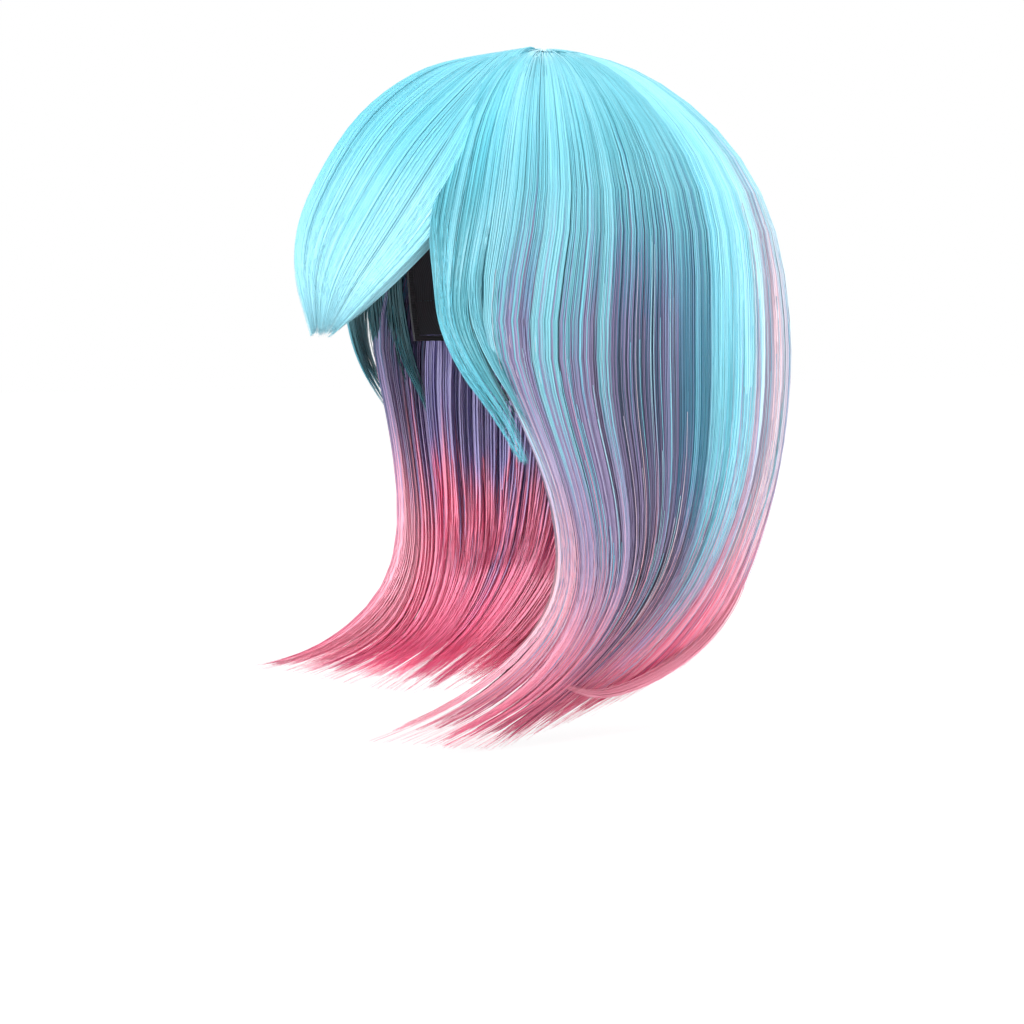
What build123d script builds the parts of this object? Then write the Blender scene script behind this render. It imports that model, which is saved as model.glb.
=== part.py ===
"""A shoulder-length costume wig: an adjustable net cap, the hair sewn to it and two nape straps.

Frame: millimetres, +Z up, origin at the inside top of the cap, face towards -Y, the wearer's left
at +X. The cap is a stack of thin layers on one egg-shaped head form. A layer's depth is its
distance outside that form, so a negative depth lies inside the cap.
"""

import math
import os

from build123d import *

# Head form: an ellipsoid whose top is the origin.
head_width = 152.0
head_length = 192.0
head_height = 200.0

# The head size on which the hair's stations were chosen. The hair follows the head's own size.
drawn_width = 152.0
drawn_length = 192.0

# Cap layers, each from its inner depth to its outer depth.
lining_depths = (0.0, 0.6)
net_depths = (0.8, 1.3)
weft_depths = (1.5, 2.4)
binding_depths = (-0.4, 2.6)
seat_depths = (-2.3, -0.2)
tape_depths = (-0.55, -0.2)
loop_depths = (-0.95, -0.5)
strap_depths = (-2.3, -1.6)
hook_depth = -2.5

# Cap outline and pieces.
hairline_drop = 62.0
temple_drop = 84.0
ear_tab_drop = 126.0
ear_notch_drop = 104.0
nape_drop = 166.0
nape_seam_drop = 138.0
binding_width = 3.0
seam_gap = 0.3
band_height = 20.0
ribbon_width = 9.0
ribbon_pitch = 26.0
ribbons_each_side = 2
skin_top_width = 64.0
skin_top_length = 84.0
skin_top_back = 5.0
weft_height = 4.0
crown_weft_drops = (18.0, 29.0, 40.0, 51.0)
side_weft_drops = (64.0, 78.0, 92.0, 106.0, 120.0, 134.0)
nape_band_height = 12.0

# Nape straps. Angles run round the head form from the middle of the back.
strap_width_z = 11.0
strap_drop = 152.5
strap_sewn_angle = 73.0
strap_free_angle = 33.0
strap_end_angle = 36.5
strap_end_gap_deg = 0.4
seat_gap_deg = 0.3
seat_span_deg = 7.7
seat_margin = 1.0
tape_angles = (4.0, 42.0)
loop_angles = (10.0, 16.0, 22.0, 28.0, 34.0)
loop_span = 1.5
loop_inset = 1.0
hook_gap = 1.5
hook_head = 5.2
hook_thickness = 1.0
hook_rim = 1.4
hook_slot_length = 2.0
hook_slot_clearance = 0.3
hook_tongue_length = 6.8
hook_tongue_height = 5.0
hook_barb = 0.5

# Hair envelope: a dome over the crown, then hanging locks. The face edges of the side hair lean
# forward over the dome, most at the first lock and not at all from the lean's end.
hair_half_width = 101.0
hair_half_length = 138.0
hair_rise = 28.0
hair_dome_height = 143.0
whorl_back = 9.0
whorl_share = 0.205
dome_shares = (0.215, 0.45, 0.72, 0.92)
face_edge_lean = 5.5
face_edge_angle = 58.0
lean_end_angle = 92.0
cap_clearance = 1.0
parting_gap_deg = 0.35
row_spacing_deg = 6.0
points_per_span = 5
fringe_rows = 5
layer_gap = 2.0
inward_y_share = 0.75
surface_tolerance = 0.05

# How thick the outer locks are at each station, as a share of the room above the cap on the dome
# and in millimetres below it.
dome_fill = (1.0, 1.0, 1.0, 0.55)
hanging_thickness = (14.0, 12.0, 11.0, 10.0, 9.0, 7.5, 6.0, 3.0)
under_thickness = (16.0, 14.0, 12.0, 10.0, 7.0, 3.0)

# Hanging locks on the wearer's left, at the widest level and below, from the face to the back.
# Each is an angle round the head (0 at the face) and (x, y, z) stations down to the tip.
left_locks = {
    58: [(88, -57, -115), (92, -40, -155), (91, -21, -195), (87, -13, -235),
         (83, -22, -265), (78, -48, -290), (75, -80, -308), (73, -112, -319)],
    74: [(98, -33, -115), (99, -25, -155), (96, -10, -195), (91, -1, -235),
         (85, -6, -265), (80, -22, -290), (77, -46, -308), (74, -78, -323)],
    92: [(101, 6, -115), (100, 8, -155), (97, 18, -195), (90, 23, -235),
         (83, 15, -265), (78, -3, -290), (75, -26, -308), (72, -62, -326)],
    108: [(96, 46, -115), (94, 48, -155), (88, 50, -195), (81, 46, -235),
          (75, 32, -265), (70, 10, -290), (68, -12, -308), (66, -42, -328)],
    126: [(82, 84, -115), (80, 85, -155), (75, 83, -195), (68, 73, -235),
          (63, 56, -265), (59, 32, -290), (57, 10, -306), (55, -20, -325)],
    146: [(58, 120, -115), (56, 121, -155), (51, 118, -195), (45, 107, -235),
          (41, 93, -265), (39, 72, -290), (38, 52, -303), (38, 24, -316)],
    164: [(28, 141, -115), (27, 141, -155), (24, 137, -195), (20, 127, -235),
          (18, 116, -262), (17, 104, -280), (16, 92, -292), (16, 74, -303)],
    180: [(0, 147, -115), (0, 146, -155), (0, 142, -195), (0, 131, -235),
          (0, 120, -260), (0, 110, -276), (0, 100, -287), (0, 86, -297)],
}
# The right side flicks further forward and ends higher, most of all at the face.
right_reach = (3.0, 12.0, 24.0, 32.0, 34.0, 32.0, 27.0, 21.0)
right_lift = (0.0, 0.0, 0.0, 0.0, 2.0, 6.0, 12.0, 18.0)

# Fringe: locks from the left edge to the middle; the right half mirrors them. All meet in one
# point over the bridge of the nose.
fringe_locks = {
    0.0: [(0, -21, 25), (0, -60, 15), (0, -93, -10), (0, -118, -50), (0, -125, -82), (0, -117, -121)],
    0.5: [(13, -17, 25), (34, -46, 6), (46, -78, -24), (45, -103, -62), (30, -115, -94),
          (8, -115, -121)],
    1.0: [(17, -9, 25), (52, -42, -12), (64, -54, -40), (64, -73, -68), (48, -96, -96),
          (16, -112, -121)],
}
fringe_thickness = (40.0, 30.0, 18.0, 11.0, 8.0, 3.0)

# Temple lock: it rises from the cap between the fringe and the side hair and ends outside the
# side hair. The angles are its two edges on the dome; the stations follow below the temple.
temple_angles = (58.2, 62.0)
temple_sink = 0.95
temple_front = [(76, -77, -92), (80, -75, -115), (88, -66, -138), (96, -54, -157), (99, -40, -174)]
temple_back = [(82, -66, -92), (85, -66, -115), (95, -58, -138), (100, -46, -157), (101, -35, -174)]
temple_thickness = 3.0

head_centre_z = -head_height / 2
width_share = head_width / drawn_width
length_share = head_length / drawn_length
nodes = {}


def save(name, shape):
    """Keeps a piece under its node name."""
    nodes[name] = shape
    return shape


def save_pair(name, left):
    """Keeps a left piece and its mirror image."""
    save(name + "_left", left)
    save(name + "_right", mirror(left, about=Plane.YZ))


def half_axes(depth):
    """Half axes of the head form at a depth."""
    return head_width / 2 + depth, head_length / 2 + depth, head_height / 2 + depth


def form(depth):
    """The solid head form, grown by a depth."""
    return Pos(0, 0, head_centre_z) * scale(Sphere(1), by=half_axes(depth))


def layer(depths):
    """A closed layer round the whole head form."""
    inner, outer = depths
    return form(outer) - form(inner)


def form_point(angle, z, depth):
    """A point on the form at an angle from the middle of the back, and the outward direction."""
    a, b, c = half_axes(depth)
    rise = z - head_centre_z
    girth = math.sqrt(1 - (rise / c) ** 2)
    turn = math.atan2(b * math.sin(math.radians(angle)), a * math.cos(math.radians(angle)))
    x, y = a * girth * math.sin(turn), b * girth * math.cos(turn)
    return Vector(x, y, z), Vector(x / a**2, y / b**2, rise / c**2).normalized()


def side_face(points):
    """A flat face in the side view from (y, z) points."""
    return make_face(Polyline(*[(0, y, z) for y, z in points], close=True))


def side_prism(face):
    """A side-view face drawn right through the head from ear to ear."""
    return extrude(face, amount=head_width, dir=(1, 0, 0), both=True)


def level_slab(low, high):
    """Everything between two heights."""
    size = 2 * head_length
    return Pos(0, 0, (low + high) / 2) * Box(size, size, high - low)


def back_wedge(start, end):
    """Everything on the left between two angles from the middle of the back."""
    reach = 2 * head_length
    corners = [(0, 0)]
    for angle in (start, end):
        turn = math.radians(angle)
        corners.append((reach * math.sin(turn), reach * math.cos(turn)))
    return Pos(0, 0, -head_height) * extrude(make_face(Polyline(*corners, close=True)), head_height)


# ---------------------------------------------------------------- cap

far = head_length
ear_front, ear_back = -40.0, 14.0
outline = side_face([
    (-far, -hairline_drop), (-64, -hairline_drop - 4), (-44, -temple_drop),
    (ear_front, -ear_tab_drop), (ear_front + 20, -ear_tab_drop),
    (-12, -ear_notch_drop), (ear_back, -ear_notch_drop), (26, -130),
    (48, -nape_drop), (far, -nape_drop), (far, far / 2), (-far, far / 2),
])
inside_binding = side_prism(offset(outline, amount=-(binding_width + seam_gap)))
band_top = hairline_drop - band_height
tab_top = ear_notch_drop + seam_gap
band_zone = side_face([
    (-far, -hairline_drop), (-64, -hairline_drop - 4), (-44, -temple_drop), (-42, -ear_notch_drop),
    (-20, -ear_notch_drop), (-26, -76), (-54, -band_top - 2), (-far, -band_top),
])
tab_zone = side_face([
    (-43, -tab_top), (-43, -ear_tab_drop), (-14, -ear_tab_drop), (-14, -tab_top),
])
nape_zone = side_face([
    (16, -106), (26, -130), (48, -nape_drop), (far, -nape_drop), (far, -138), (60, -134), (34, -106),
])


def cap_piece(depths, zone=None):
    """A layer of the cap, clear of the binding, and inside a side-view zone if one is given."""
    piece = layer(depths) & inside_binding
    return piece & side_prism(zone) if zone else piece


def build_cap():
    """Net, lining, ribbons, bands and binding."""
    net = cap_piece(net_depths)
    save("crown_net", net & level_slab(-nape_seam_drop + seam_gap / 2, head_height))
    save("nape_net", net & level_slab(-nape_drop, -nape_seam_drop - seam_gap / 2))
    save("front_lining_band", cap_piece(lining_depths, band_zone))
    left_half = Pos(head_width, 0, 0) * Box(2 * head_width, 2 * far, 4 * far)
    tabs = cap_piece(lining_depths, tab_zone)
    save_pair("ear_tab", tabs & left_half)
    save("nape_lining", cap_piece(lining_depths, nape_zone))
    rest_of_lining = cap_piece(lining_depths)
    rest_of_lining -= side_prism(offset(band_zone, amount=seam_gap))
    rest_of_lining -= side_prism(offset(tab_zone, amount=seam_gap))
    rest_of_lining -= side_prism(offset(nape_zone, amount=seam_gap))

    def ribbon(x):
        return rest_of_lining & (Pos(x, 0, 0) * Box(ribbon_width, 2 * far, 2 * far))

    save("ribbon_centre", ribbon(0))
    for i in range(1, ribbons_each_side + 1):
        save_pair(f"ribbon_{i}", ribbon(i * ribbon_pitch))
    shell = layer(binding_depths)
    rim = side_prism(outline) - side_prism(offset(outline, amount=-binding_width))
    save("edge_binding", shell & rim)
    top = -nape_drop + binding_width + seam_gap + nape_band_height
    save("nape_elastic", cap_piece(weft_depths) & level_slab(-nape_drop, top))


def build_wefts():
    """The crown patch that the hair radiates from, and the sewn rows below it."""
    oval = Pos(0, skin_top_back, 0) * extrude(
        Ellipse(skin_top_width / 2, skin_top_length / 2), head_height / 2, both=True)
    patch = layer(weft_depths) & oval & level_slab(-head_height / 2, head_height)
    save("skin_top", patch)
    before_ears = side_face([
        (-far, -ear_notch_drop), (ear_back, -ear_notch_drop), (ear_back, -far), (-far, -far)])
    rows = cap_piece(weft_depths) - side_prism(before_ears)
    for number, drop in enumerate(crown_weft_drops + side_weft_drops, 1):
        row = rows & level_slab(-drop - weft_height, -drop)
        save(f"weft_row_{number:02d}", row - oval if number == 1 else row)


# ---------------------------------------------------------------- nape straps


def build_straps():
    """Loop tapes, sewn seats, elastic straps with their end loops, and the hooks."""
    low, high = -strap_drop - strap_width_z / 2, -strap_drop + strap_width_z / 2
    band = level_slab(low, high)
    seat_start = strap_sewn_angle + seat_gap_deg
    seat = layer(seat_depths) & back_wedge(seat_start, seat_start + seat_span_deg)
    save_pair("strap_seat", seat & level_slab(low - seat_margin, high + seat_margin))
    tape = layer(tape_depths) & back_wedge(*tape_angles) & band
    for angle in loop_angles:
        loop = layer(loop_depths) & back_wedge(angle - loop_span / 2, angle + loop_span / 2)
        tape += loop & level_slab(low + loop_inset, high - loop_inset)
    save_pair("loop_tape", tape)
    elastic = layer(strap_depths) & band
    save_pair("adjust_strap", elastic & back_wedge(strap_end_angle, strap_sewn_angle))
    save_pair("strap_end_loop", elastic & back_wedge(
        strap_free_angle, strap_end_angle - strap_end_gap_deg))
    save_pair("strap_hook", build_hook())


def hook_place():
    """The middle of the hook, a gap short of the strap's end loop, and the outward direction."""
    end, _ = form_point(strap_free_angle, -strap_drop, hook_depth)
    reach = hook_gap + (hook_head + hook_tongue_length) / 2
    angle = strap_free_angle - math.degrees(reach / math.hypot(end.X, end.Y))
    return form_point(angle, -strap_drop, hook_depth)


def build_hook():
    """A flat hook: a head with a slot as wide as the strap, and a tongue towards the middle."""
    middle, outward = hook_place()
    along = Vector(outward.Y, -outward.X, 0).normalized()
    slot_height = strap_width_z + 2 * hook_slot_clearance
    head = Box(hook_head, slot_height + 2 * hook_rim, hook_thickness)
    head = fillet(head.edges().filter_by(Axis.Z), hook_rim)
    slot = Box(hook_slot_length, slot_height, 2 * hook_thickness)
    head -= Pos(hook_head / 2 - hook_rim - hook_slot_length / 2, 0, 0) * slot
    tongue = Pos(-hook_head / 2, 0, 0) * Box(
        hook_tongue_length, hook_tongue_height, hook_thickness,
        align=(Align.MAX, Align.CENTER, Align.CENTER))
    tongue = fillet(tongue.edges().filter_by(Axis.Z).group_by(Axis.X)[0], hook_rim)
    barb = Pos(-hook_head / 2 - hook_tongue_length, 0, -hook_thickness / 2) * Box(
        hook_rim, hook_tongue_height - 2 * hook_rim, hook_barb,
        align=(Align.MIN, Align.CENTER, Align.MAX))
    hook = Pos(hook_tongue_length / 2, 0, 0) * (head + tongue + barb)
    return Plane(origin=middle, x_dir=along, z_dir=outward) * hook


# ---------------------------------------------------------------- hair


def curve_through(points, at):
    """Catmull-Rom point on a list of points, at 0 for the first and 1 for the last."""
    last = len(points) - 1
    place = min(max(at, 0), 1) * last
    i = min(int(place), last - 1)
    t = place - i
    p = [points[min(max(k, 0), last)] for k in (i - 1, i, i + 1, i + 2)]
    return tuple(
        0.5 * (2 * b + (c - a) * t + (2 * a - 5 * b + 4 * c - d) * t**2
               + (3 * b - a - 3 * c + d) * t**3)
        for a, b, c, d in zip(*p))


def across(locks, key):
    """The lock at a key between the given ones, station by station, smooth across them."""
    keys = sorted(locks)
    i = max(k for k in range(len(keys) - 1) if keys[k] <= key or k == 0)
    share = (key - keys[i]) / (keys[i + 1] - keys[i])
    place = (i + share) / (len(keys) - 1)
    stations = len(locks[keys[0]])
    return [curve_through([locks[k][s] for k in keys], place) for s in range(stations)]


def fitted(points):
    """Stations as drawn, moved in or out with the head's own size."""
    return [Vector(x * width_share, y * length_share, z) for x, y, z in points]


def dome_stations(angle, sink=1.0):
    """Where a lock runs from the whorl to the widest level, at an angle round the crown."""
    turn = math.radians(angle)
    points = []
    for share in dome_shares:
        height = hair_dome_height * (math.sqrt(1 - share**2) - 1)
        points.append((sink * hair_half_width * share * math.sin(turn),
                       whorl_back - sink * hair_half_length * share * math.cos(turn),
                       hair_rise + height))
    return points


def curtain_lock(angle):
    """Outer line of a side or back lock: 0 to 180 on the left, 180 to 360 on the right."""
    left = angle <= 180
    own = angle if left else 360 - angle
    hanging = across(left_locks, own)
    if not left:
        front = (180 - own) / (180 - face_edge_angle)
        hanging = [
            (-x, y - reach * front, z + lift * front)
            for (x, y, z), reach, lift in zip(hanging, right_reach, right_lift)]
    lean = face_edge_lean * max(0, (lean_end_angle - own) / (lean_end_angle - face_edge_angle))
    return fitted(dome_stations(angle + lean if left else angle - lean) + hanging)


def on_cap(point):
    """The point just outside the cap, straight in from a point of the hair."""
    centre = Vector(0, 0, head_centre_z)
    a, b, c = half_axes(weft_depths[1] + cap_clearance)
    ray = point - centre
    length = math.sqrt((ray.X / a) ** 2 + (ray.Y / b) ** 2 + (ray.Z / c) ** 2)
    return centre + ray * (1 / length)


def inward(point, distance):
    """A hanging point moved level towards the head's upright axis."""
    level = Vector(point.X, point.Y * inward_y_share, 0)
    return point - level.normalized() * distance


def refined(stations):
    """Points along a line through its stations, each with its place counted in stations."""
    last = len(stations) - 1
    count = last * points_per_span
    places = [last * i / count for i in range(count + 1)]
    triples = [tuple(p) for p in stations]
    return [(place, Vector(*curve_through(triples, place / last))) for place in places]


def eased(share):
    """A share held between 0 and 1 that starts and ends gently."""
    share = min(max(share, 0), 1)
    return share * share * (3 - 2 * share)


def mixed(values, place):
    """A value between stations."""
    i = min(int(place), len(values) - 2)
    return values[i] + (values[i + 1] - values[i]) * (place - i)


def curtain_inner(line):
    """Inner line of an outer lock: down to the cap on the crown, thinner below."""
    last_dome = len(dome_fill) - 1
    points = []
    for place, point in line:
        to_cap = (on_cap(point) - point) * mixed(dome_fill, min(place, last_dome))
        thickness = mixed(hanging_thickness, max(place - last_dome - 1, 0))
        to_inside = inward(point, thickness) - point
        share = eased(place - last_dome)
        points.append(point + to_cap * (1 - share) + to_inside * share)
    return points


def block(outer_rows, inner_rows):
    """A closed solid between two grids of points."""
    outer = Face.make_surface_from_array_of_points(outer_rows, tol=surface_tolerance, max_deg=4)
    inner = Face.make_surface_from_array_of_points(inner_rows, tol=surface_tolerance, max_deg=4)

    def edge_near(face, start, end):
        def miss(edge):
            first, last = edge @ 0, edge @ 1
            ahead = (first - start).length + (last - end).length
            back = (first - end).length + (last - start).length
            return min(ahead, back)
        return min(face.edges(), key=miss)

    def corners(rows):
        first, last = rows[0], rows[-1]
        return [(first[0], first[-1]), (first[-1], last[-1]), (last[-1], last[0]),
                (last[0], first[0])]

    sides = []
    for (a, b), (c, d) in zip(corners(outer_rows), corners(inner_rows)):
        sides.append(Face.make_surface_from_curves(edge_near(outer, a, b), edge_near(inner, c, d)))
    return Solid(Shell([outer, inner] + sides))


def angles_between(start, end):
    """Angles of a panel's rows, short of its neighbours by the parting gap."""
    steps = max(3, round((end - start) / row_spacing_deg))
    first, last = start + parting_gap_deg, end - parting_gap_deg
    return [first + (last - first) * i / steps for i in range(steps + 1)]


def curtain_panel(start, end):
    """An outer panel of hair between two angles round the head."""
    lines = [refined(curtain_lock(angle)) for angle in angles_between(start, end)]
    return block([[p for _, p in line] for line in lines], [curtain_inner(line) for line in lines])


def under_panel(start, end):
    """The hair of the lower weft rows, between an outer panel and the cap or neck."""
    top = (len(dome_fill) - 1) * points_per_span
    bottom = top + (len(under_thickness) - 1) * points_per_span
    outer_rows, inner_rows = [], []
    for angle in angles_between(start, end):
        cover = curtain_inner(refined(curtain_lock(angle)))[top:bottom + 1]
        outer = [inward(point, layer_gap) for point in cover]
        inner = []
        for i, point in enumerate(outer):
            place = i / points_per_span
            share = eased(place - 1)
            hanging = inward(point, mixed(under_thickness, place))
            inner.append(on_cap(point) * (1 - share) + hanging * share)
        outer_rows.append(outer)
        inner_rows.append(inner)
    return block(outer_rows, inner_rows)


def fringe_panel(start, end):
    """A panel of the fringe from the middle, 0, to its left edge, 1, or mirrored to -1."""
    both = dict(fringe_locks)
    for key, points in fringe_locks.items():
        both[-key] = [(-x, y, z) for x, y, z in points]
    outer_rows, inner_rows = [], []
    for i in range(fringe_rows + 1):
        line = refined(fitted(across(both, start + (end - start) * i / fringe_rows)))
        outer_rows.append([point for _, point in line])
        inner = []
        for place, point in line:
            down = on_cap(point) - point
            thickness = min(mixed(fringe_thickness, place), down.length)
            inner.append(point + down.normalized() * thickness)
        inner_rows.append(inner)
    return block(outer_rows, inner_rows)


def temple_lock():
    """A thin lock between the fringe and the side hair."""
    outer_rows, inner_rows = [], []
    for angle, hanging in zip(temple_angles, (temple_front, temple_back)):
        dome = dome_stations(angle, temple_sink)[1:]
        line = refined(fitted(dome + hanging))
        inner = []
        for place, point in line:
            share = eased(place - len(dome) + 1)
            inner.append(on_cap(point) * (1 - share) + inward(point, temple_thickness) * share)
        outer_rows.append([point for _, point in line])
        inner_rows.append(inner)
    return block(outer_rows, inner_rows)


def whorl_cone():
    """A cone from the middle of the head through the rim of the whorl."""
    rim_z = hair_rise + hair_dome_height * (math.sqrt(1 - whorl_share**2) - 1)
    sections = []
    for z in (head_centre_z / 2, 2 * hair_rise):
        share = (z - head_centre_z) / (rim_z - head_centre_z)
        rim = Ellipse(hair_half_width * width_share * whorl_share * share,
                      hair_half_length * length_share * whorl_share * share)
        sections.append(Pos(0, whorl_back * length_share * share, z) * rim)
    return loft(sections, ruled=True)


def build_hair():
    """Whorl, fringe, temple locks and the outer and under panels."""
    half_axes_of_cover = (
        hair_half_width * width_share, hair_half_length * length_share, hair_dome_height)
    cover = Pos(0, whorl_back * length_share, hair_rise - hair_dome_height) * scale(
        Sphere(1), by=half_axes_of_cover)
    save("whorl_hair", (cover & whorl_cone()) - form(weft_depths[1] + cap_clearance))
    save("side_hair_front_left", curtain_panel(face_edge_angle, 92))
    save("side_hair_rear_left", curtain_panel(92, 126))
    save("back_hair_left", curtain_panel(126, 162))
    save("back_hair_centre", curtain_panel(162, 198))
    save("back_hair_right", curtain_panel(198, 234))
    save("side_hair_rear_right", curtain_panel(234, 268))
    save("side_hair_front_right", curtain_panel(268, 360 - face_edge_angle))
    save("under_hair_side_left", under_panel(76, 126))
    save("under_hair_back_left", under_panel(126, 162))
    save("under_hair_back_centre", under_panel(162, 198))
    save("under_hair_back_right", under_panel(198, 234))
    save("under_hair_side_right", under_panel(234, 284))
    save("fringe_hair_left", fringe_panel(0.37, 1.0))
    save("fringe_hair_centre", fringe_panel(-0.34, 0.34))
    save("fringe_hair_right", fringe_panel(-1.0, -0.37))
    save_pair("temple_lock", temple_lock())


build_cap()
build_wefts()
build_straps()
build_hair()

os.makedirs("parts", exist_ok=True)
for name, shape in nodes.items():
    export_step(shape, f"parts/{name}.step")
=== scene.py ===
"""Looks of the costume wig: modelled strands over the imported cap, and finishes for the cap's parts.

Hair places are worked out in the CAD source's millimetres, from the same locks, and written to the
meshes in metres. A place along a lock is counted in its stations, as in the source.
"""

import math

import bpy
import numpy as np
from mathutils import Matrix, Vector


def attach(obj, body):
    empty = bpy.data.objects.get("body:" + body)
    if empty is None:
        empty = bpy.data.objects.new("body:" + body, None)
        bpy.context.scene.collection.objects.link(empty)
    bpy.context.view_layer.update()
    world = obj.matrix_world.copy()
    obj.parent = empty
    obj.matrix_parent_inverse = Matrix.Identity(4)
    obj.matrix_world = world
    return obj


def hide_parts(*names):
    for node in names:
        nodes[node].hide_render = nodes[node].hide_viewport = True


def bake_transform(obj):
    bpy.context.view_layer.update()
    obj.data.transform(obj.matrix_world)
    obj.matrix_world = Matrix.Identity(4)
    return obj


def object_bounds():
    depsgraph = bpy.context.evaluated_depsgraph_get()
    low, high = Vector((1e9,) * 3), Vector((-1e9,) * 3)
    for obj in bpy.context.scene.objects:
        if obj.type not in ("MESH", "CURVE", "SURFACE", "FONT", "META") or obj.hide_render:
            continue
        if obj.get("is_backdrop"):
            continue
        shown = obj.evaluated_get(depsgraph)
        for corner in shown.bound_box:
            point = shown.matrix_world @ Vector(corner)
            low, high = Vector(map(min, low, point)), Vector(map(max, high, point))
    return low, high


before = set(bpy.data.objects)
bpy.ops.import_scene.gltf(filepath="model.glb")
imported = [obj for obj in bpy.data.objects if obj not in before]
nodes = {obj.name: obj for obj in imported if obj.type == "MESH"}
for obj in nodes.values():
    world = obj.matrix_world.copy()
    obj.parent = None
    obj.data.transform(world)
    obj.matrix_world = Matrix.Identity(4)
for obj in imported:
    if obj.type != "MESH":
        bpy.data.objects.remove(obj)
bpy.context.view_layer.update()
mm = 0.001
rng = np.random.default_rng(7)

# ---- the hair's shape, as in the CAD

head_half = np.array([76.0, 96.0, 100.0])
head_centre = np.array([0.0, 0.0, -100.0])
cap_top = 3.4
hair_half_width = 101.0
hair_half_length = 138.0
hair_rise = 28.0
hair_dome_height = 143.0
whorl_back = 9.0
root_share = 0.03
dome_shares = (0.215, 0.45, 0.72, 0.92)
face_edge_lean = 5.5
face_edge_angle = 58.0
lean_end_angle = 92.0
layer_gap = 2.0
inward_y_share = 0.75
dome_fill = (1.0, 1.0, 1.0, 1.0, 0.55)
hanging_thickness = (14.0, 12.0, 11.0, 10.0, 9.0, 7.5, 6.0, 3.0)
under_thickness = (16.0, 14.0, 12.0, 10.0, 7.0, 3.0)

left_locks = {
    58: [(88, -57, -115), (92, -40, -155), (91, -21, -195), (87, -13, -235),
         (83, -22, -265), (78, -48, -290), (75, -80, -308), (73, -112, -319)],
    74: [(98, -33, -115), (99, -25, -155), (96, -10, -195), (91, -1, -235),
         (85, -6, -265), (80, -22, -290), (77, -46, -308), (74, -78, -323)],
    92: [(101, 6, -115), (100, 8, -155), (97, 18, -195), (90, 23, -235),
         (83, 15, -265), (78, -3, -290), (75, -26, -308), (72, -62, -326)],
    108: [(96, 46, -115), (94, 48, -155), (88, 50, -195), (81, 46, -235),
          (75, 32, -265), (70, 10, -290), (68, -12, -308), (66, -42, -328)],
    126: [(82, 84, -115), (80, 85, -155), (75, 83, -195), (68, 73, -235),
          (63, 56, -265), (59, 32, -290), (57, 10, -306), (55, -20, -325)],
    146: [(58, 120, -115), (56, 121, -155), (51, 118, -195), (45, 107, -235),
          (41, 93, -265), (39, 72, -290), (38, 52, -303), (38, 24, -316)],
    164: [(28, 141, -115), (27, 141, -155), (24, 137, -195), (20, 127, -235),
          (18, 116, -262), (17, 104, -280), (16, 92, -292), (16, 74, -303)],
    180: [(0, 147, -115), (0, 146, -155), (0, 142, -195), (0, 131, -235),
          (0, 120, -260), (0, 110, -276), (0, 100, -287), (0, 86, -297)],
}
right_reach = (3.0, 12.0, 24.0, 32.0, 34.0, 32.0, 27.0, 21.0)
right_lift = (0.0, 0.0, 0.0, 0.0, 2.0, 6.0, 12.0, 18.0)

fringe_locks = {
    0.0: [(0, -21, 25), (0, -60, 15), (0, -93, -10), (0, -118, -50), (0, -125, -82), (0, -117, -121)],
    0.5: [(13, -17, 25), (34, -46, 6), (46, -78, -24), (45, -103, -62), (30, -115, -94),
          (8, -115, -121)],
    1.0: [(17, -9, 25), (52, -42, -12), (64, -54, -40), (64, -73, -68), (48, -96, -96),
          (16, -112, -121)],
}
fringe_thickness = (25.0, 40.0, 30.0, 18.0, 11.0, 8.0, 3.0)

temple_thickness = 4.0
# By key: the angle round the whorl, the sink over the crown and the hanging stations.
temple_locks = {
    0.0: (46, 0.95, [(76, -77, -92), (80, -75, -115), (88, -66, -138), (95, -53, -157), (93, -37, -180)]),
    0.5: (57, 0.965, [(82, -66, -92), (85, -66, -115), (95, -58, -138), (98, -46, -157), (94, -34, -180)]),
    1.0: (66, 0.97, [(82, -46, -92), (85, -42, -115), (88, -36, -138), (89, -28, -157), (89, -22, -174)]),
}

angle_step = 1.0
key_step = 0.02
place_step = 0.1
curtain_easing = 8
temple_easing = 5


def through(points, places):
    """Catmull-Rom points at places counted in stations, along the first axis of points."""
    points = np.asarray(points, float)
    last = len(points) - 1
    places = np.clip(places, 0, last)
    i = np.minimum(places.astype(int), last - 1)
    t = (places - i).reshape(-1, *[1] * (points.ndim - 1))
    a, b, c, d = (points[np.clip(i + k, 0, last)] for k in (-1, 0, 1, 2))
    return 0.5 * (2 * b + (c - a) * t + (2 * a - 5 * b + 4 * c - d) * t**2
                  + (3 * b - a - 3 * c + d) * t**3)


def across(locks, keys):
    """Locks at keys between the given ones: an array of keys by stations by 3."""
    known = sorted(locks)
    places = np.interp(keys, known, range(len(known)))
    return through([locks[k] for k in known], places)


def stepped(start, end, step):
    """Evenly stepped values from a start to an end, both included."""
    return np.arange(start, end + step / 2, step)


def unit(vectors):
    """Vectors made one long."""
    return vectors / np.maximum(np.linalg.norm(vectors, axis=-1, keepdims=True), 1e-9)


def eased(share):
    """Shares held between 0 and 1 that start and end gently."""
    share = np.clip(share, 0, 1)
    return share * share * (3 - 2 * share)


def on_cap(points):
    """The points just outside the cap, straight in from points of the hair."""
    ray = points - head_centre
    length = np.linalg.norm(ray / (head_half + cap_top), axis=-1, keepdims=True)
    return head_centre + ray / length


def rising(values, start, spread):
    """0 up to a start and 1 beyond its spread."""
    return eased((values - start) / spread)


def falling(values, end, spread):
    """1 down to a spread before an end and 0 beyond the end."""
    return eased((end - values) / spread)


def inward(points, distance):
    """Hanging points moved level towards the head's upright axis."""
    level = points * (1, inward_y_share, 0)
    return points - unit(level) * np.reshape(distance, (-1, 1))


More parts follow.
